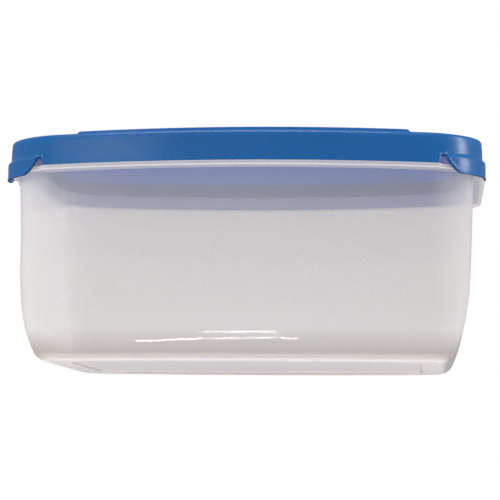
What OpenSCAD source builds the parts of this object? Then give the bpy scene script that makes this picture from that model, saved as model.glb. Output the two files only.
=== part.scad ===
// Rectangular food container: a thin-walled tub and the one-piece lid that
// snaps over its ledge. Millimetres, +Z up. The origin is the centre of the
// underside, +X runs along the length and -Y is the front long side.

/* [Tub] */
// Length of the tub at its ledge
tub_length = 286; // [260:2:310]
// Depth of the tub at its ledge, at the middle of the long sides
tub_depth = 225; // [200:1:250]
// Wall thickness
wall = 1.6; // [1.4:0.1:1.8]
// Corner radius at the ledge
rim_radius = 28; // [24:1:34]
// Corner radius at the base
base_radius = 18; // [14:1:22]
// Outward bow of the long sides at the ledge
rim_bow = 25; // [18:1:28]
// Outward bow of the long sides at the base
base_bow = 12; // [8:1:16]
// Draft of the sides, as a slope
draft = 0.03; // [0.02:0.005:0.04]
// How much further inward the lower wall sweeps
sweep = 11.5; // [8:0.5:13]
// Width of the foot ring under the base
foot_width = 12; // [8:1:16]
// Depth of the recess inside the foot ring
foot_recess = 1.2; // [0.8:0.1:1.4]

/* [Ledge and rim] */
// Height of the underside of the ledge
ledge_z = 116.7; // [112:0.1:118]
// Height of the ledge's outer lip
lip_height = 2.6; // [2.4:0.1:2.8]
// How far the ledge stands out from the wall
ledge_out = 7.9; // [7.6:0.1:8.2]
// Height of the tub's rim, inside the lid
rim_z = 134.4; // [132:0.1:134.6]

/* [Lid] */
// Height of the lid's upper edge
lid_z = 138.6; // [138.6:0.1:142]
// Thickness of the lid
lid_wall = 1.5; // [1.3:0.1:1.6]
// How far the skirt stands out from the tub's wall at its lower edge
skirt_out = 5.9; // [5.7:0.1:6.2]
// Radius of the lid's upper edge
edge_radius = 2.5; // [2:0.25:3]
// Width of the flat border round the lid's recessed panel
border = 22; // [20:1:26]
// Height of the lower edge of the front corner tabs
tab_z = 114.1; // [112:0.1:115]
// How far the corner tabs stand out from the tub's wall
tab_out = 7.8; // [7.7:0.1:8]
// Height of the notch beside each corner tab
notch_z = 125.4; // [123:0.1:127]

/* [Stacking rails] */
// Half length of each rail
rail_half = 102; // [90:1:106]
// Height of the rails above the lid's edge
rail_rise = 4.8; // [3:0.1:6]
// Width of the rails
rail_width = 4; // [3:0.5:5]

/* [Hidden] */

half_x = tub_length / 2;
half_y = tub_depth / 2;
floor_z = foot_recess + wall;
heel = 5.3;              // radius between the outer wall and the base
inner_heel = 4.5;        // radius between the inner wall and the floor
sweep_top = 105;         // the lower wall's sweep begins at this height
sweep_power = 5;
blend_top = 80;          // corners and bow are the rim's above this height
ledge_top = ledge_z + lip_height;
plate = 1.4;             // thickness of the ledge inside its lip
lip_width = 2;
ledge_at_tab = 5.8;      // the ledge is this narrow behind the corner tabs

clear = 0.25;            // gap between the lid's skirt and the ledge
skirt_z = ledge_top + clear;
skirt_slope = 0.045;     // the skirt leans in by this much per unit of height
under_z = lid_z - lid_wall;
panel_drop = 2.2;        // the lid's panel lies this far below its border
plug_gap = 0.5;          // gap between the tub's rim and the lid's inner ring
plug_z = 128;            // lower edge of the lid's inner ring

swell_z = 125;           // the tabs stand out fully below this height
flush_z = 128;           // and are flush with the skirt above this one
notch_from = 10;         // degrees round the corner where the notch starts,
notch_peak = 17;         // is highest,
notch_to = 22;           // and meets the tab
tab_full = 36;           // degrees round the corner where the tab is deepest
side_full = 0.95;        // share of the half short side up to which it stays so
side_end = 0.70;         // share at which the tab has ended
fade = 0.2;              // share over which the ledge and the swelling fade out

rail_line = -16;         // the rails run this far from the wall line

// ---- outline -----------------------------------------------------------
// A station is [side, t, front, x sign, y sign]. On a long side, side 0, t
// runs from 0 at its middle to 1. On a corner, side 1, t is in degrees from
// the long side. On a short side, side 2, t runs from 1 to 0 at its middle.
BACK = concat([for (k = [0:5]) [0, k / 6, false]],
              [for (a = [0:10:90]) [1, a, false]],
              [for (k = [2:-1:1]) [2, k / 3, false]]);
FRONT = concat([for (k = [0:5]) [0, k / 6, true]],
               [for (a = [0:3:36]) [1, a, true]],
               [for (a = [45:9:90]) [1, a, true]],
               [for (k = [9:-1:1]) [2, k / 10, true]]);
SIDE = [[2, 0, false]];
function back_to_front(list) = [for (k = [len(list) - 1:-1:0]) list[k]];
function without_first(list) = [for (k = [1:len(list) - 1]) list[k]];
function in_quadrant(list, sx, sy) = [for (s = list) concat(s, [sx, sy])];

// Every station, clockwise from the middle of the back
STATIONS = concat(
    in_quadrant(concat(BACK, SIDE), 1, 1),
    in_quadrant(back_to_front(FRONT), 1, -1),
    in_quadrant(concat(without_first(FRONT), SIDE), -1, -1),
    in_quadrant(back_to_front(without_first(BACK)), -1, 1));

function mix(a, b, t) = a + (b - a) * t;
function ease(t) = let (u = min(1, max(0, t))) u * u * (3 - 2 * u);

// Point of station s on a bowed rectangle of half sizes a and b
function outline(s, a, b, r, bow, z) =
    let (x = s[0] == 0 ? s[1] * (a - r) : s[0] == 1 ? a - r + r * sin(s[1]) : a,
         y = s[0] == 0 ? b : s[0] == 1 ? b - r + r * cos(s[1]) : s[1] * (b - r))
    [s[3] * x, s[4] * y * (1 - bow / b * pow(x / a, 2)), z];

// Point of station s that lies off outside the wall line, above the ledge
function above(s, off, z) =
    outline(s, half_x + off, half_y + off, rim_radius + off, rim_bow, z);
function level(off, z) = [for (s = STATIONS) above(s, off, z)];

// Joins a stack of rings into one closed solid
module loft(rings) {
    n = len(rings[0]);
    m = len(rings);
    polyhedron(
        points = [for (r = rings) for (p = r) p],
        faces = concat(
            [[for (j = [0:n - 1]) j]],
            [for (i = [0:m - 2]) for (j = [0:n - 1]) let (k = (j + 1) % n)
                [i * n + j, (i + 1) * n + j, (i + 1) * n + k]],
            [for (i = [0:m - 2]) for (j = [0:n - 1]) let (k = (j + 1) % n)
                [i * n + j, (i + 1) * n + k, i * n + k]],
            [[for (j = [n - 1:-1:0]) (m - 1) * n + j]]));
}

// ---- tub ---------------------------------------------------------------
// Inset of the outer wall from the wall line at height z
function inset(z) = draft * (ledge_z - z)
    + (z < sweep_top ? sweep * pow(1 - z / sweep_top, sweep_power) : 0);

// Ring of the tub's wall, in by some distance, with corners that much tighter
function wall_ring(z, in, thickness) =
    let (t = min(1, z / blend_top), r = mix(base_radius, rim_radius, t) - thickness)
    [for (s = STATIONS) outline(s, half_x - in, half_y - in, r, mix(base_bow, rim_bow, t), z)];

// Rings up the outside, and up the inside, from the base to the ledge
function outside() = concat(
    [for (a = [0:30:90])
        wall_ring(heel * (1 - cos(a)), inset(heel * (1 - cos(a))) + heel * (1 - sin(a)), 0)],
    [for (k = [1:7]) let (z = mix(heel, ledge_z - plate, pow(k / 7, 1.3)))
        wall_ring(z, inset(z), 0)]);
function inside() = concat(
    [for (a = [0:30:90]) let (z = floor_z + inner_heel * (1 - cos(a)))
        wall_ring(z, inset(z) + wall + inner_heel * (1 - sin(a)), wall)],
    [for (k = [1:7]) let (z = mix(floor_z + inner_heel, ledge_z, pow(k / 7, 1.3)))
        wall_ring(z, inset(z) + wall, wall)]);

// 1 beside and behind a corner tab, where the ledge is narrow, 0 elsewhere
function beside_tab(s) =
    !s[2] || s[0] == 0 ? 0
    : s[0] == 1 ? ease((s[1] - notch_from) / (notch_peak - notch_from))
    : ease((s[1] - side_end) / fade + 1);
function ledge_ring(in, z) = [for (s = STATIONS)
    above(s, mix(ledge_out, ledge_at_tab, beside_tab(s)) - in, z)];

module tub() {
    base_in = inset(0) + heel;
    color([0.86, 0.86, 0.86, 0.7]) loft(concat(
        inside(),
        [level(-wall, rim_z), level(0, rim_z), level(0, ledge_top),
         ledge_ring(0, ledge_top), ledge_ring(0, ledge_z), ledge_ring(lip_width, ledge_z),
         ledge_ring(lip_width, ledge_top - plate), level(0, ledge_top - plate)],
        back_to_front(outside()),
        [wall_ring(0, base_in + foot_width, 0),
         wall_ring(foot_recess, base_in + foot_width + foot_recess, 0)]));
}

// ---- lid ---------------------------------------------------------------
// 1 where a front corner tab stands out in full, 0 away from it
function swelling(s) =
    !s[2] || s[0] == 0 ? 0
    : s[0] == 1 ? ease((s[1] - notch_peak) / (notch_to - notch_peak))
    : ease((s[1] - side_end) / fade + 1);

// Lower edge of the skirt: level, but for the notch that rises beside each
// front corner tab, and the tab, which reaches below the ledge
function skirt_low(s) =
    s[0] == 0 || !s[2] ? skirt_z
    : s[0] == 2 ? mix(skirt_z, tab_z, ease((s[1] - side_end) / (side_full - side_end)))
    : s[1] < notch_peak
        ? mix(skirt_z, notch_z, ease((s[1] - notch_from) / (notch_peak - notch_from)))
    : s[1] < notch_to ? mix(notch_z, skirt_z, swelling(s))
    : mix(tab_z, skirt_z, pow(1 - min(1, (s[1] - notch_to) / (tab_full - notch_to)), 2));

// Distance of the skirt's outer face from the wall line
function skirt_face(z) = skirt_out - skirt_slope * (z - skirt_z);
function swollen_face(s, z) = mix(skirt_face(z), tab_out,
    swelling(s) * (1 - ease((z - swell_z) / (flush_z - swell_z))));

// Ring of the skirt, from its lower edge, share 0, to just above the tabs
function skirt_ring(share, in) = [for (s = STATIONS)
    let (z = mix(skirt_low(s), flush_z + 1, share)) above(s, swollen_face(s, z) - in, z)];

module shell() {
    edge = skirt_face(lid_z) - edge_radius;
    plug = -wall - plug_gap;
    loft(concat(
        [level(-border - panel_drop, lid_z - panel_drop), level(-border, lid_z)],
        [for (a = [90:-30:0])
            level(edge + edge_radius * cos(a), lid_z - edge_radius * (1 - sin(a)))],
        [for (share = [1:-0.25:0]) skirt_ring(share, 0)],
        [for (share = [0:0.5:1]) skirt_ring(share, lid_wall)],
        [level(skirt_face(under_z) - lid_wall, under_z), level(plug, under_z),
         level(plug, plug_z), level(plug - lid_wall, plug_z), level(plug - lid_wall, under_z),
         level(-border - lid_wall / 2, under_z),
         level(-border - panel_drop - lid_wall / 2, under_z - panel_drop)]));
}

// Rail that follows a long side's bow, 1 for the back and -1 for the front
module rail(side) {
    foot_z = lid_z - lid_wall / 2;
    top_z = lid_z + rail_rise;
    slope = 0.6;    // each side leans in by this much
    run = 5;        // length of the sloping ends
    function slice(x, z) =
        let (y = side * (half_y + rail_line - rim_bow * pow(x / half_x, 2)), w = rail_width / 2)
        [[x, y - w, foot_z], [x, y + w, foot_z], [x, y + w - slope, z], [x, y - w + slope, z]];
    loft(concat([slice(-rail_half - run, lid_z + slope)],
                [for (k = [-8:8]) slice(rail_half * k / 8, top_z)],
                [slice(rail_half + run, lid_z + slope)]));
}

module lid() {
    color([0.14, 0.37, 0.64]) union() {
        shell();
        rail(-1);
        rail(1);
    }
}

tub();
lid();
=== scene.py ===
"""Snap lid food container: rounded, dense meshes of the tub and the lid round the CAD frame,
with their plastics, a pale floor and soft studio light.

Everything is in the frame of the CAD: the origin is the centre of the underside, +X runs along
the length, -Y is the front long side and +Z is up. Shapes are worked out in millimetres and
become metres where a mesh is made.
"""

import math

import bpy
import numpy as np
from mathutils import Matrix, Vector


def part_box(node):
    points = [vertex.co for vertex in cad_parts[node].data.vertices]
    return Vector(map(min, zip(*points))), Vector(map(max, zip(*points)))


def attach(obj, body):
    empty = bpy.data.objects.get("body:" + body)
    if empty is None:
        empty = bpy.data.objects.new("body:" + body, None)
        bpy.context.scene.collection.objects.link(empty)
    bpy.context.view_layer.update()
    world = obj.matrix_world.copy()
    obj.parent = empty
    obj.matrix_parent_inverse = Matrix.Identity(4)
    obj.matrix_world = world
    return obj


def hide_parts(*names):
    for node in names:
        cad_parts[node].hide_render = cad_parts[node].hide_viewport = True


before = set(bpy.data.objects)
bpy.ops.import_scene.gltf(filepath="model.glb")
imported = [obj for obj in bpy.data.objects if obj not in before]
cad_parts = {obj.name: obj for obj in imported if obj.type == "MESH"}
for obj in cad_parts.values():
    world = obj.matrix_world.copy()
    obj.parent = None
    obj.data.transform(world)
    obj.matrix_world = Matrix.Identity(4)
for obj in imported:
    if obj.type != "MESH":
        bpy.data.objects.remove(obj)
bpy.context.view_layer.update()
scene = bpy.context.scene
MM = 0.001

# ---- driving dimensions, the same as the CAD's ------------------------------------------------
WALL = 1.6
RIM_RADIUS, BASE_RADIUS = 28, 18
RIM_BOW, BASE_BOW = 25, 12
BLEND_TOP = 80                       # corners and bow are the rim's above this height
DRAFT, SWEEP, SWEEP_TOP, SWEEP_POWER = 0.03, 11.5, 105, 5
HEEL, INNER_HEEL = 5.3, 4.5
FOOT_WIDTH, FOOT_RECESS = 12, 1.2
LEDGE_Z, LIP_HEIGHT, LIP_WIDTH, PLATE = 116.7, 2.6, 2.0, 1.4
LEDGE_OUT, LEDGE_AT_TAB = 7.9, 5.8
LEDGE_TOP = LEDGE_Z + LIP_HEIGHT
LID_Z, LID_WALL, EDGE_RADIUS = 138.6, 1.5, 2.5
SKIRT_OUT, SKIRT_SLOPE, SKIRT_Z = 5.9, 0.045, LEDGE_TOP + 0.25
BORDER, PANEL_DROP, UNDER_Z = 22, 2.2, LID_Z - LID_WALL
PLUG, PLUG_Z = -WALL - 0.5, 128
TAB_OUT, NOTCH_Z, FLUSH_Z = 7.8, 125.4, 128
NOTCH_FROM, NOTCH_PEAK, NOTCH_TO, TAB_FULL = 10, 17, 22, 36
SIDE_FULL, SIDE_END, FADE = 0.95, 0.70, 0.2
RAIL_HALF, RAIL_WIDTH, RAIL_RUN, RAIL_LEAN, RAIL_LINE = 102, 4, 5, 0.6, -16

SKIN = 0.01                          # keeps the widest faces just inside the CAD's box
tub_low, tub_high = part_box("tub")
lid_low, lid_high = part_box("lid")
HALF_X = tub_high.x / MM - LEDGE_OUT - SKIN
HALF_Y = tub_high.y / MM - LEDGE_OUT - SKIN
RIM_Z = tub_high.z / MM - SKIN
TAB_Z = lid_low.z / MM + SKIN
RAIL_TOP = lid_high.z / MM - SKIN
FLOOR_Z = FOOT_RECESS + WALL


# ---- camera -----------------------------------------------------------------------------------
def make_camera():
    """A long lens a little right of the middle and a little below the base."""
    azimuth, elevation, roll = math.radians(5.32), math.radians(-6.45), math.radians(0.51)
    distance, aim_right, aim_up = 1278.28 * MM, -2.39 * MM, 77.61 * MM
    sensor_width, focal_length = 36, 140.36
    back = Vector((math.sin(azimuth) * math.cos(elevation),
                   -math.cos(azimuth) * math.cos(elevation), math.sin(elevation)))
    right = Vector((math.cos(azimuth), math.sin(azimuth), 0))
    up = back.cross(right)
    place = right * aim_right + up * aim_up + back * distance
    turned_right = right * math.cos(roll) + up * math.sin(roll)
    turned_up = up * math.cos(roll) - right * math.sin(roll)
    data = bpy.data.cameras.new("camera")
    data.sensor_width, data.lens = sensor_width, focal_length
    data.clip_start, data.clip_end = 0.05, 50
    camera = bpy.data.objects.new("camera", data)
    facing = Matrix((turned_right, turned_up, back)).transposed()
    camera.matrix_world = Matrix.Translation(place) @ facing.to_4x4()
    scene.collection.objects.link(camera)
    scene.camera = camera


make_camera()


# ---- outline: one station for each step round the container -----------------------------------
def mix(a, b, t):
    return a + (b - a) * t


def ease(t):
    t = np.clip(t, 0, 1)
    return t * t * (3 - 2 * t)


LONG, CORNER, SHORT = 0, 1, 2


def quadrant(long_steps, corner_steps, short_steps, front):
    """Stations from the middle of a long side to the middle of a short side, as rows of
    [side, t, front]: t is a share of the half side, or degrees round the corner."""
    rows = [[LONG, t, front] for t in np.arange(long_steps) / long_steps]
    rows += [[CORNER, a, front] for a in np.linspace(0, 90, corner_steps + 1)]
    rows += [[SHORT, t, front] for t in np.arange(short_steps - 1, -1, -1) / short_steps]
    return np.array(rows, float)


def make_stations():
    """Clockwise from the middle of the back."""
    def signed(rows, sign_x, sign_y):
        return np.hstack([rows, np.tile([sign_x, sign_y], (len(rows), 1))])

    back, front = quadrant(36, 30, 20, 0), quadrant(36, 135, 34, 1)
    return np.vstack([signed(back, 1, 1), signed(front[:-1][::-1], 1, -1),
                      signed(front[1:], -1, -1), signed(back[1:-1][::-1], -1, 1)]).T


side, t_side, is_front, sign_x, sign_y = make_stations()
COUNT = len(side)
on_long, on_corner = side == LONG, side == CORNER
at_front = is_front > 0.5
turn = np.radians(np.where(on_corner, t_side, 0))


def ring(off, z, tight=None):
    """Points off outside the wall line at height z, with corners that are tight wider."""
    off, z = np.broadcast_to(off, COUNT) * 1.0, np.broadcast_to(z, COUNT) * 1.0
    share = np.clip(z / BLEND_TOP, 0, 1)
    r = mix(BASE_RADIUS, RIM_RADIUS, share) + (off if tight is None else tight)
    bow = mix(BASE_BOW, RIM_BOW, share)
    a, b = HALF_X + off, HALF_Y + off
    x = np.where(on_long, t_side * (a - r), np.where(on_corner, a - r + r * np.sin(turn), a))
    y = np.where(on_long, b, np.where(on_corner, b - r + r * np.cos(turn), t_side * (b - r)))
    return np.stack([sign_x * x, sign_y * y * (1 - bow / b * (x / a) ** 2), z], 1)


class Section:
    """The cross-section at every station at once: a line of nodes [off, tight, z]."""

    def __init__(self):
        self.nodes, self.radii = [], []

    def to(self, off, z, radius=0.0, tight=None):
        """Adds a node, whose corner is rounded by radius."""
        tight = off if tight is None else tight
        self.nodes.append(np.stack([np.broadcast_to(v, COUNT) * 1.0 for v in (off, tight, z)], 1))
        self.radii.append(radius)

    def rings(self, steps=4):
        """The rings through the nodes, with the rounded corners as short curves."""
        made = []
        for i, (node, radius) in enumerate(zip(self.nodes, self.radii)):
            if radius == 0:
                made.append(node)
                continue
            ends = []
            for other in (self.nodes[i - 1], self.nodes[i + 1]):
                way = other - node
                length = np.maximum(np.hypot(way[:, 0], way[:, 2]), 1e-6)[:, None]
                ends.append(node + way / length * np.minimum(radius, 0.46 * length))
            for t in np.linspace(0, 1, steps + 1):
                made.append((1 - t) ** 2 * ends[0] + 2 * t * (1 - t) * node + t * t * ends[1])
        return [ring(m[:, 0], m[:, 2], m[:, 1]) for m in made]


def closed_in(rings):
    """The rings, with ever smaller ones across the flat middle at both ends."""
    shares = np.linspace(0.95, 0.05, 8)
    first = [rings[0] * [share, share, 1] for share in shares[::-1]]
    last = [rings[-1] * [share, share, 1] for share in shares]
    return first + rings + last


def make_mesh(name, rings):
    """A closed mesh through a stack of rings, with a fan at each end."""
    points = np.vstack(rings + [rings[0].mean(0)[None], rings[-1].mean(0)[None]]) * MM
    rows = len(rings)
    j = np.arange(COUNT)
    k = (j + 1) % COUNT
    faces = []
    for i in range(rows - 1):
        a, b = i * COUNT, (i + 1) * COUNT
        faces += np.stack([a + j, a + k, b + k, b + j], 1).tolist()
    first, last, top = rows * COUNT, rows * COUNT + 1, (rows - 1) * COUNT
    faces += np.stack([np.full(COUNT, first), k, j], 1).tolist()
    faces += np.stack([np.full(COUNT, last), top + j, top + k], 1).tolist()
    return mesh_from(name, points, faces)


def mesh_from(name, points, faces):
    """An object of these points and faces, smooth and facing outwards."""
    mesh = bpy.data.meshes.new(name)
    mesh.from_pydata(points.tolist(), [], faces)
    mesh.update()
    volume = sum(t.area * t.normal.dot(mesh.vertices[t.vertices[0]].co)
                 for t in triangles(mesh))
    if volume < 0:
        mesh.flip_normals()
    mesh.shade_smooth()
    made = bpy.data.objects.new(name, mesh)
    scene.collection.objects.link(made)
    return made


def triangles(mesh):
    mesh.calc_loop_triangles()
    return mesh.loop_triangles


# ---- tub --------------------------------------------------------------------------------------
def inset(z):
    """How far the outer wall is inside the wall line at height z."""
    return DRAFT * (LEDGE_Z - z) + SWEEP * np.clip(1 - z / SWEEP_TOP, 0, 1) ** SWEEP_POWER


def spread(low, high, steps, power=1.3):
    """Heights from low to high, closer together near the low end."""
    return mix(low, high, (np.arange(steps + 1) / steps) ** power)


def tub_rings():
    beside_tab = np.where(
        ~at_front | on_long, 0,
        np.where(on_corner, ease((t_side - NOTCH_FROM) / (NOTCH_PEAK - NOTCH_FROM)),
                 ease((t_side - SIDE_END) / FADE + 1)))
    ledge = mix(LEDGE_OUT, LEDGE_AT_TAB, beside_tab)
    s = Section()
    for a in np.radians(np.linspace(0, 90, 9)):
        z = FLOOR_Z + INNER_HEEL * (1 - math.cos(a))
        s.to(-inset(z) - WALL - INNER_HEEL * (1 - math.sin(a)), z, tight=-WALL)
    for z in spread(FLOOR_Z + INNER_HEEL, LEDGE_Z, 30)[1:]:
        s.to(-inset(z) - WALL, z, tight=-WALL)
    s.to(-WALL, RIM_Z, 0.6)
    s.to(0, RIM_Z, 0.6)
    s.to(0, LEDGE_TOP, 0.7)
    s.to(ledge, LEDGE_TOP, 0.7)
    s.to(ledge, LEDGE_Z, 0.5)
    s.to(ledge - LIP_WIDTH, LEDGE_Z, 0.5)
    s.to(ledge - LIP_WIDTH, LEDGE_TOP - PLATE, 0.6)
    s.to(0, LEDGE_TOP - PLATE, 0.7)
    for z in spread(HEEL, LEDGE_Z - 1, 32)[::-1]:
        s.to(-inset(z), z, tight=0)
    for a in np.radians(np.linspace(90, 0, 11)[1:]):
        z = HEEL * (1 - math.cos(a))
        s.to(-inset(z) - HEEL * (1 - math.sin(a)), z, tight=0)
    foot = -inset(0) - HEEL - FOOT_WIDTH
    s.to(foot, 0, 0.5, tight=0)
    s.to(foot - FOOT_RECESS, FOOT_RECESS, 0.5, tight=0)
    s.to(foot - FOOT_RECESS - 2, FOOT_RECESS, tight=0)
    return closed_in(s.rings())


# ---- lid --------------------------------------------------------------------------------------
BEAD, BEAD_IN, BEAD_HALF = 0.6, 1.3, 0.6    # bead round the notches and the ends of the tabs
TAB_LIP, LIP_IN = 0.35, 0.5                 # raised edge along the foot of the tabs
NOTCH_ROUND = 1.6                           # how far the notch's rounded peak is cut down
STEP_FROM, STEP_TO = 123.6, 126.4           # the tabs stand out below this step

swelling = np.where(
    ~at_front | on_long, 0,
    np.where(on_corner, ease((t_side - NOTCH_PEAK) / (NOTCH_TO - NOTCH_PEAK)),
             ease((t_side - SIDE_END) / FADE + 1)))


def skirt_low():
    """Height of the skirt's lower edge: it rises into the notch, and drops along the tab."""
    rise = mix(SKIRT_Z, NOTCH_Z, ease((t_side - NOTCH_FROM) / (NOTCH_PEAK - NOTCH_FROM)))
    fall = mix(NOTCH_Z, SKIRT_Z, swelling)
    drop = mix(TAB_Z, SKIRT_Z,
               (1 - np.clip((t_side - NOTCH_TO) / (TAB_FULL - NOTCH_TO), 0, 1)) ** 2)
    corner = np.where(t_side < NOTCH_PEAK, rise, np.where(t_side < NOTCH_TO, fall, drop))
    over = corner - (NOTCH_Z - 2 * NOTCH_ROUND)
    corner = np.where(over > 0, corner - over ** 2 / (4 * NOTCH_ROUND), corner)
    along = mix(SKIRT_Z, TAB_Z, ease((t_side - SIDE_END) / (SIDE_FULL - SIDE_END)))
    return np.where(~at_front | on_long, SKIRT_Z, np.where(on_corner, corner, along))


def skirt_face(z):
    return SKIRT_OUT - SKIRT_SLOPE * (z - SKIRT_Z)


def lid_rings():
    low = skirt_low()
    edge_line = ring(SKIRT_OUT, low)
    ahead = np.roll(edge_line, -1, 0) - np.roll(edge_line, 1, 0)
    along = np.hypot(ahead[:, 0], ahead[:, 1])
    lean = along / np.hypot(along, ahead[:, 2])     # how level the lower edge runs
    bead_starts = ease((t_side - NOTCH_FROM + 1) / 3)
    bead_ends = ease((t_side - TAB_FULL + 6) / 10)
    near_notch = np.where(at_front & on_corner, bead_starts * (1 - bead_ends), 0)

    def standing(z):
        """How far a tab has come out of the skirt at height z, from 0 to 1."""
        return swelling * (1 - ease((z - STEP_FROM) / (STEP_TO - STEP_FROM)))

    def outer(z):
        """Distance of the skirt's outer face from the wall line."""
        face = mix(skirt_face(z), TAB_OUT - TAB_LIP, standing(z))
        up = (z - low) * lean
        bead = BEAD * near_notch * np.exp(-((up - BEAD_IN) / BEAD_HALF) ** 2)
        lip = TAB_LIP * swelling * (1 - near_notch) * np.exp(-((up - LIP_IN) / BEAD_HALF) ** 2)
        return np.minimum(face + bead + lip, TAB_OUT)

    def inner(z):
        """Distance of the skirt's inner face from the wall line."""
        return mix(skirt_face(z), TAB_OUT, standing(z)) - LID_WALL

    s = Section()
    s.to(-BORDER - PANEL_DROP - 2, LID_Z - PANEL_DROP)
    s.to(-BORDER - PANEL_DROP, LID_Z - PANEL_DROP, 1.4)
    s.to(-BORDER, LID_Z, 1.4)
    edge = skirt_face(LID_Z) - EDGE_RADIUS
    for a in np.radians(np.linspace(90, 0, 9)):
        s.to(edge + EDGE_RADIUS * math.cos(a), LID_Z - EDGE_RADIUS * (1 - math.sin(a)))
    for z in np.linspace(LID_Z - EDGE_RADIUS, FLUSH_Z + 1, 6)[1:-1]:
        s.to(skirt_face(z), z)
    for share in spread(0, 1, 30, 1.4)[:0:-1]:
        z = mix(low, FLUSH_Z + 1, share)
        s.to(outer(z), z)
    s.to(outer(low), low, 1.0)
    s.to(inner(low), low, 0.5)
    for share in np.linspace(0, 1, 12)[1:]:
        z = mix(low, FLUSH_Z + 1, share)
        s.to(inner(z), z)
    s.to(skirt_face(UNDER_Z) - LID_WALL, UNDER_Z, 1.2)
    s.to(PLUG, UNDER_Z, 0.6)
    s.to(PLUG, PLUG_Z, 0.5)
    s.to(PLUG - LID_WALL, PLUG_Z, 0.5)
    s.to(PLUG - LID_WALL, UNDER_Z, 0.8)
    s.to(-BORDER - LID_WALL / 2, UNDER_Z, 1.2)
    s.to(-BORDER - PANEL_DROP - LID_WALL / 2, UNDER_Z - PANEL_DROP, 1.2)
    s.to(-BORDER - PANEL_DROP - 3, UNDER_Z - PANEL_DROP)
    return closed_in(s.rings())


def make_rail(name, direction):
    """A rail along a long side's bow, direction 1 at the back and -1 at the front."""
    half, foot = RAIL_WIDTH / 2, LID_Z - LID_WALL / 2
    rise = RAIL_TOP - LID_Z
    xs = np.unique(np.concatenate([np.linspace(-RAIL_HALF, RAIL_HALF, 70),
                                   np.linspace(RAIL_HALF, RAIL_HALF + RAIL_RUN, 12),
                                   -np.linspace(RAIL_HALF, RAIL_HALF + RAIL_RUN, 12)]))
    # the section, from one foot over the rounded top to the other: [across, share of height]
    arc = np.radians(np.linspace(0, 180, 13))
    across = np.concatenate([[half], (half - RAIL_LEAN) * np.sign(np.cos(arc))
                             * np.abs(np.cos(arc)) ** 0.6, [-half]])
    up = np.concatenate([[0], 1 - 0.16 * (1 - np.sin(arc) ** 0.6), [0]])
    points, faces = [], []
    for x in xs:
        past = max(0, (abs(x) - RAIL_HALF) / RAIL_RUN)
        height = mix(rise, 0.3, ease(past))
        y = direction * (HALF_Y + RAIL_LINE - RIM_BOW * (x / HALF_X) ** 2)
        top = LID_Z + height
        points += [[x, y + c, mix(foot, top, u)] for c, u in zip(across, up)]
    n = len(across)
    for i in range(len(xs) - 1):
        faces += [[i * n + j, i * n + (j + 1) % n, (i + 1) * n + (j + 1) % n, (i + 1) * n + j]
                  for j in range(n)]
    faces += [list(range(n))[::-1], [(len(xs) - 1) * n + j for j in range(n)]]
    return mesh_from(name, np.array(points) * MM, faces)


def joined(base, others):
    """base with the others' shapes united to it."""
    for other in others:
        union = base.modifiers.new("union", "BOOLEAN")
        union.operation, union.solver, union.object = "UNION", "MANIFOLD", other
    dg = bpy.context.evaluated_depsgraph_get()
    mesh = bpy.data.meshes.new_from_object(base.evaluated_get(dg))
    base.modifiers.clear()
    base.data = mesh
    for other in others:
        bpy.data.objects.remove(other)
    return base


def finish_mesh(piece, sharp_angle):
    """Smooth shading that keeps flat faces flat, with creases past the angle."""
    piece.data.shade_smooth()
    piece.data.set_sharp_from_angle(angle=math.radians(sharp_angle))
    normals = piece.modifiers.new("normals", "WEIGHTED_NORMAL")
    normals.keep_sharp = True


# ---- materials --------------------------------------------------------------------------------
class Shader:
    """A material's node tree, with a short way to add and link nodes."""

    def __init__(self, name):
        self.material = bpy.data.materials.new(name)
        self.material.use_nodes = True
        self.tree = self.material.node_tree
        self.tree.nodes.clear()
        self.output = self.tree.nodes.new("ShaderNodeOutputMaterial")

    def add(self, kind, inputs=None, **settings):
        """A node of that kind. inputs are its sockets' values or the sockets that feed them."""
        node = self.tree.nodes.new("ShaderNode" + kind)
        for key, value in settings.items():
            setattr(node, key, value)
        for key, value in (inputs or {}).items():
            if isinstance(value, bpy.types.NodeSocket):
                self.tree.links.new(value, node.inputs[key])
            else:
                node.inputs[key].default_value = value
        return node

    def noise(self, coords, scale, detail=3.0, roughness=0.5):
        return self.add("TexNoise", {"Vector": coords, "Scale": scale, "Detail": detail,
                                     "Roughness": roughness}).outputs["Fac"]

    def between(self, value, low, high, to_low=0.0, to_high=1.0):
        """value from low..high mapped to to_low..to_high, and held at the ends."""
        return self.add("MapRange", {"Value": value, "From Min": low, "From Max": high,
                                     "To Min": to_low, "To Max": to_high}).outputs[0]

    def maths(self, operation, a, b=0.0):
        return self.add("Math", {0: a, 1: b}, operation=operation).outputs[0]

    def colours(self, share, a, b):
        node = self.add("Mix", data_type="RGBA")
        for socket, value in ((node.inputs["Factor"], share), (node.inputs["A"], a),
                              (node.inputs["B"], b)):
            if isinstance(value, bpy.types.NodeSocket):
                self.tree.links.new(value, socket)
            else:
                socket.default_value = value
        return [o for o in node.outputs if o.type == "RGBA"][0]

    def finish(self, surface):
        self.tree.links.new(surface, self.output.inputs["Surface"])
        return self.material


def rgb(r, g, b):
    return (r, g, b, 1.0)


def stretched(s, coords, x, y, z):
    return s.add("Mapping", {"Vector": coords, "Scale": (x, y, z)}).outputs[0]


EDGE_BELOW = 126 * MM                   # the skirt's lower edge and notches are below this height, where they get painted shade


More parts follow.
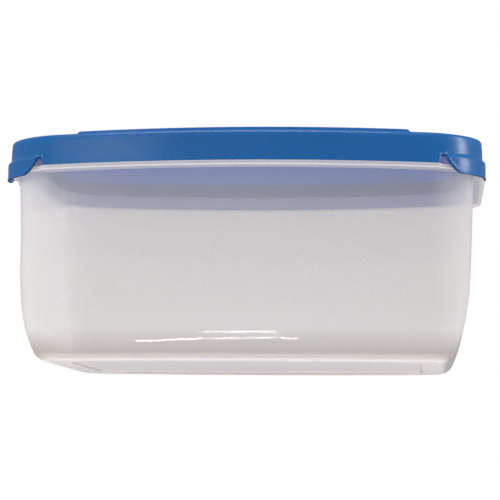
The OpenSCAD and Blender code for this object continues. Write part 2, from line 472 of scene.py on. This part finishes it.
def lid_material():
    """Blue polyethylene: glossy outside, duller beneath, and some light glows through it; the
    skirt's lower edge gets painted shade.
    """
    s = Shader("lid_blue_polyethylene")
    coords = s.add("TexCoord").outputs["Object"]
    cloud = s.noise(coords, 22, 4)
    flow = s.noise(stretched(s, coords, 1, 1, 5), 55, 5, 0.6)
    grain = s.noise(coords, 1500, 2)
    wide = s.noise(coords, 260, 3)
    edge = s.between(s.add("NewGeometry").outputs["Pointiness"], 0.505, 0.56)
    base = s.colours(s.between(cloud, 0.3, 0.7), rgb(0.004, 0.105, 0.274), rgb(0.005, 0.115, 0.296))
    base = s.colours(s.maths("MULTIPLY", s.between(flow, 0.55, 0.8), 0.25), base,
                     rgb(0.012, 0.09, 0.26))
    worn = s.maths("MULTIPLY", edge, s.between(wide, 0.35, 0.75, 0.05, 0.5))
    base = s.colours(worn, base, rgb(0.05, 0.18, 0.42))
    rough = s.maths("ADD", s.between(wide, 0.3, 0.7, 0.20, 0.26),
                    s.between(flow, 0.3, 0.8, 0.0, 0.07))
    height = s.maths("ADD", s.maths("MULTIPLY", grain, 0.35), s.maths("MULTIPLY", wide, 0.65))
    bump = s.add("Bump", {"Strength": 0.22, "Distance": 0.00012, "Height": height})
    shader = s.add("BsdfPrincipled", {
        "Base Color": base, "Roughness": rough, "IOR": 1.5, "Normal": bump.outputs[0],
        "Specular IOR Level": 0.5})
    matt = s.add("BsdfPrincipled", {"Base Color": base, "Roughness": 0.7, "IOR": 1.5,
                                    "Specular IOR Level": 0.1, "Normal": bump.outputs[0]})
    facing = s.add("SeparateXYZ", {"Vector": s.add("NewGeometry").outputs["Normal"]})
    under = s.between(facing.outputs["Z"], -0.7, -0.4, 1.0, 0.0)
    face = s.add("MixShader", {0: under, 1: shader.outputs[0], 2: matt.outputs[0]})
    glow = s.add("BsdfTranslucent", {"Color": rgb(0.02, 0.30, 0.92)})
    glow_share = 0.36
    whole = s.add("MixShader", {0: glow_share, 1: face.outputs[0], 2: glow.outputs[0]})
    # painted shade: the skirt's lower edge, facing down, which little light reaches, is given a
    # dark blue shader
    height_up = s.add("SeparateXYZ", {"Vector": coords}).outputs["Z"]
    low = s.maths("MULTIPLY", s.between(height_up, EDGE_BELOW, EDGE_BELOW + 4 * MM, 1.0, 0.0),
                  s.between(facing.outputs["Z"], -0.5, -0.12, 1.0, 0.0))
    painted_edge_shade = s.add("BsdfPrincipled", {"Base Color": rgb(0.002, 0.028, 0.115), "Roughness": 0.5,
                                    "IOR": 1.5, "Specular IOR Level": 0.2})
    with_edge_shade = s.add("MixShader", {0: low, 1: whole.outputs[0], 2: painted_edge_shade.outputs[0]})
    return s.finish(with_edge_shade.outputs[0])


# heights between which the tub's plastic changes, and between which the painted shade at the heel
# fades out
HEEL_SHADE = (6 * MM, 20 * MM)
CLEARER = (78 * MM, 114 * MM)
LEDGE_STARTS = ((LEDGE_Z - 0.7) * MM, (LEDGE_Z - 0.1) * MM)
LEDGE_ENDS = (LEDGE_TOP * MM, (LEDGE_TOP + 0.5) * MM)


def tub_material():
    """Natural polypropylene: part of what falls on it shines, part scatters, part goes through;
    near the heel a darker colour is painted in as shade.
    """
    s = Shader("tub_natural_polypropylene")
    coords = s.add("TexCoord").outputs["Object"]
    cloud = s.noise(coords, 14, 4)
    flow = s.noise(stretched(s, coords, 1, 1, 0.12), 130, 4, 0.6)
    wide = s.noise(coords, 300, 3)
    grain = s.noise(coords, 1800, 2)
    height_up = s.add("SeparateXYZ", {"Vector": coords}).outputs["Z"]
    foot = s.between(height_up, 0.0, FOOT_RECESS * MM, 1.0, 0.0)
    scuffed = s.maths("MULTIPLY", foot, s.between(wide, 0.4, 0.65))
    milk_and_heel_shade = s.colours(s.between(cloud, 0.3, 0.7), rgb(0.94, 0.92, 0.90), rgb(0.955, 0.94, 0.92))
    # painted shade: near the heel, where the wall turns under, the colour is made darker and warmer
    facing = s.add("SeparateXYZ", {"Vector": s.add("NewGeometry").outputs["Normal"]})
    heel_painted_shade = s.maths("MULTIPLY", s.between(height_up, *HEEL_SHADE, 1.0, 0.0),
                   s.between(facing.outputs["Z"], -0.95, -0.8, 0.0, 1.0))
    milk_and_heel_shade = s.colours(heel_painted_shade, milk_and_heel_shade, rgb(0.56, 0.50, 0.46))
    rough = s.maths("ADD", s.between(wide, 0.3, 0.7, 0.04, 0.07),
                    s.maths("MULTIPLY", scuffed, 0.2))
    height = s.maths("ADD", s.maths("MULTIPLY", grain, 0.25),
                     s.maths("ADD", s.maths("MULTIPLY", wide, 0.35),
                             s.maths("MULTIPLY", flow, 0.4)))
    bump = s.add("Bump", {"Strength": 0.06, "Distance": 0.0001, "Height": height})
    body = s.add("BsdfPrincipled", {
        "Base Color": milk_and_heel_shade, "Roughness": rough, "IOR": 1.49, "Normal": bump.outputs[0]})
    glow = s.add("BsdfTranslucent", {"Color": milk_and_heel_shade, "Normal": bump.outputs[0]})
    clear = s.add("BsdfTransparent", {"Color": rgb(0.99, 0.99, 0.99)})
    glow_share = 0.42
    scatter = s.add("MixShader", {0: glow_share, 1: body.outputs[0], 2: glow.outputs[0]})
    # most of the light goes through the wall, more near the top and less at the ledge
    clarity = s.between(height_up, *CLEARER, 0.75, 0.85)
    ledge = s.maths("MULTIPLY", s.between(height_up, *LEDGE_STARTS, 0.0, 0.25),
                    s.between(height_up, *LEDGE_ENDS, 1.0, 0.0))
    ledge = s.maths("MULTIPLY", ledge, s.between(facing.outputs["Z"], -0.9, -0.6, 0.0, 1.0))
    clarity = s.maths("SUBTRACT", clarity, ledge)
    edge_on = s.add("LayerWeight", {"Blend": 0.5}).outputs["Facing"]
    clarity = s.maths("MULTIPLY", clarity, s.between(edge_on, 0.05, 0.9, 1.0, 0.3))
    seen = s.maths("SUBTRACT", clarity, s.maths("MULTIPLY", scuffed, 0.08))
    whole = s.add("MixShader", {0: seen, 1: scatter.outputs[0], 2: clear.outputs[0]})
    shine = s.add("BsdfAnisotropic", {"Color": rgb(1, 1, 1), "Roughness": rough,
                                      "Normal": bump.outputs[0]})
    fresnel = s.add("Fresnel", {"IOR": 1.4, "Normal": bump.outputs[0]}).outputs[0]
    outside = s.maths("SUBTRACT", 1.0, s.add("NewGeometry").outputs["Backfacing"])
    foot_matt = s.between(facing.outputs["Z"], -0.98, -0.85, 0.25, 1.0)
    gloss = s.maths("MULTIPLY", s.maths("MULTIPLY", fresnel, foot_matt), outside)
    top = s.add("MixShader", {0: gloss, 1: whole.outputs[0], 2: shine.outputs[0]})
    return s.finish(top.outputs[0])


# ---- the two mouldings ------------------------------------------------------------------------
tub = make_mesh("tub_moulding", tub_rings())
finish_mesh(tub, 40)
tub.data.materials.append(tub_material())
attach(tub, "tub")
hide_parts("tub")

lid = make_mesh("lid_moulding", lid_rings())
lid = joined(lid, [make_rail("front_rail", -1), make_rail("back_rail", 1)])
finish_mesh(lid, 40)
lid.data.materials.clear()
lid.data.materials.append(lid_material())
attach(lid, "lid")
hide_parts("lid")


# ---- floor, backdrop and light ----------------------------------------------------------------
def make_floor():
    """A pale floor that is clear from below, where the camera is."""
    s = Shader("floor_pale")
    coords = s.add("TexCoord").outputs["Object"]
    tone = s.noise(coords, 3, 2)
    colour = s.colours(tone, rgb(0.88, 0.88, 0.88), rgb(0.92, 0.92, 0.92))
    matt = s.add("BsdfDiffuse", {"Color": colour})
    clear = s.add("BsdfTransparent")
    below = s.add("NewGeometry").outputs["Backfacing"]
    both = s.add("MixShader", {0: below, 1: matt.outputs[0], 2: clear.outputs[0]})
    size, z = 3.0, tub_low.z - 0.0002
    floor = mesh_from("floor", np.array([[-size, -size, z], [size, -size, z], [size, size, z],
                                         [-size, size, z]]), [[0, 1, 2, 3]])
    if floor.data.polygons[0].normal.z < 0:
        floor.data.flip_normals()
    floor.data.materials.append(s.finish(both.outputs[0]))
    floor.visible_glossy = False
    floor.visible_shadow = False


def softbox(name, azimuth, elevation, distance, width, height, power, colour):
    """An area light that faces the container, azimuth round from the front towards +X."""
    a, e = math.radians(azimuth), math.radians(elevation)
    away = Vector((math.sin(a) * math.cos(e), -math.cos(a) * math.cos(e), math.sin(e)))
    centre = (tub_low + lid_high) / 2
    centre.x = centre.y = 0
    data = bpy.data.lights.new(name, "AREA")
    data.shape, data.size, data.size_y = "RECTANGLE", width, height
    data.energy, data.color = power, colour
    light = bpy.data.objects.new(name, data)
    light.location = centre + away * distance
    light.rotation_mode = "QUATERNION"
    light.rotation_quaternion = away.to_track_quat("Z", "Y")
    light.visible_camera = False
    scene.collection.objects.link(light)
    return light


def light_only(light, piece):
    """The light falls on that piece alone."""
    lit = bpy.data.collections.new(light.name + "_lights")
    lit.objects.link(piece)
    light.light_linking.receiver_collection = lit


def make_world():
    """White where the camera sees it, and a soft even light for everything else."""
    world = bpy.data.worlds.new("studio")
    world.use_nodes = True
    nodes, links = world.node_tree.nodes, world.node_tree.links
    nodes.clear()
    output = nodes.new("ShaderNodeOutputWorld")
    seen, given = nodes.new("ShaderNodeBackground"), nodes.new("ShaderNodeBackground")
    seen.inputs["Color"].default_value = rgb(1, 1, 1)
    given.inputs["Color"].default_value = rgb(1.0, 0.985, 0.97)
    way = nodes.new("ShaderNodeSeparateXYZ")
    links.new(nodes.new("ShaderNodeTexCoord").outputs["Generated"], way.inputs[0])
    strength = nodes.new("ShaderNodeMapRange")
    strength.inputs["From Min"].default_value = -0.3
    strength.inputs["From Max"].default_value = 0.7
    strength.inputs["To Min"].default_value = 0.50
    strength.inputs["To Max"].default_value = 0.42
    links.new(way.outputs["Y"], strength.inputs["Value"])
    links.new(strength.outputs[0], given.inputs["Strength"])
    both, path = nodes.new("ShaderNodeMixShader"), nodes.new("ShaderNodeLightPath")
    direct = nodes.new("ShaderNodeMath")
    direct.operation, direct.inputs[1].default_value = "LESS_THAN", 1.5
    links.new(path.outputs["Transparent Depth"], direct.inputs[0])
    bare = nodes.new("ShaderNodeMath")
    bare.operation = "MULTIPLY"
    links.new(direct.outputs[0], bare.inputs[0])
    links.new(path.outputs["Is Camera Ray"], bare.inputs[1])
    links.new(bare.outputs[0], both.inputs[0])
    links.new(given.outputs[0], both.inputs[1])
    links.new(seen.outputs[0], both.inputs[2])
    links.new(both.outputs[0], output.inputs["Surface"])
    scene.world = world


make_floor()
make_world()
WHITE, WARM = (1, 1, 1), (1.0, 0.92, 0.89)

# name, azimuth, elevation, distance, width, height, power, colour, the one piece it lights
REFLECTED = [
    ("key_above", -10, 62, 1.6, 1.4, 1.0, 24, WHITE, lid),
    ("front_left", -31, 12, 1.8, 0.5, 0.7, 2.5, WHITE, lid),
    ("right_strip", 84, 8, 1.5, 0.26, 1.2, 14, WHITE, lid),
    ("low_line", -9.7, -34.5, 1.4, 0.60, 0.004, 0.9, WHITE, tub),
    ("upper_line", -5.5, -29.5, 1.4, 0.27, 0.004, 0.5, WHITE, tub),
]
UNREFLECTED = [
    ("left_side", -78, 5, 1.6, 1.4, 1.2, 14, WHITE, None),
    ("right_side", 95, 5, 1.6, 1.4, 1.2, 13, WHITE, None),
    ("behind", 180, 20, 1.6, 1.4, 1.2, 6, WHITE, None),
    ("back_glow", 180, 5, 1.6, 1.4, 1.2, 14, WHITE, lid),
    ("lid_fill", -25, 8, 1.6, 1.4, 1.2, 6, WHITE, lid),
    ("low_fill", 0, -75, 0.55, 0.5, 0.35, 3.2, WARM, tub),
    ("front_low", 0, -15, 0.55, 0.5, 0.35, 0.5, WHITE, tub),
]
for rows, reflected in ((REFLECTED, True), (UNREFLECTED, False)):
    for *placing, piece in rows:
        light = softbox(*placing)
        light.visible_glossy = reflected
        if piece:
            light_only(light, piece)

scene.view_settings.view_transform = "Standard"
scene.view_settings.look = "None"
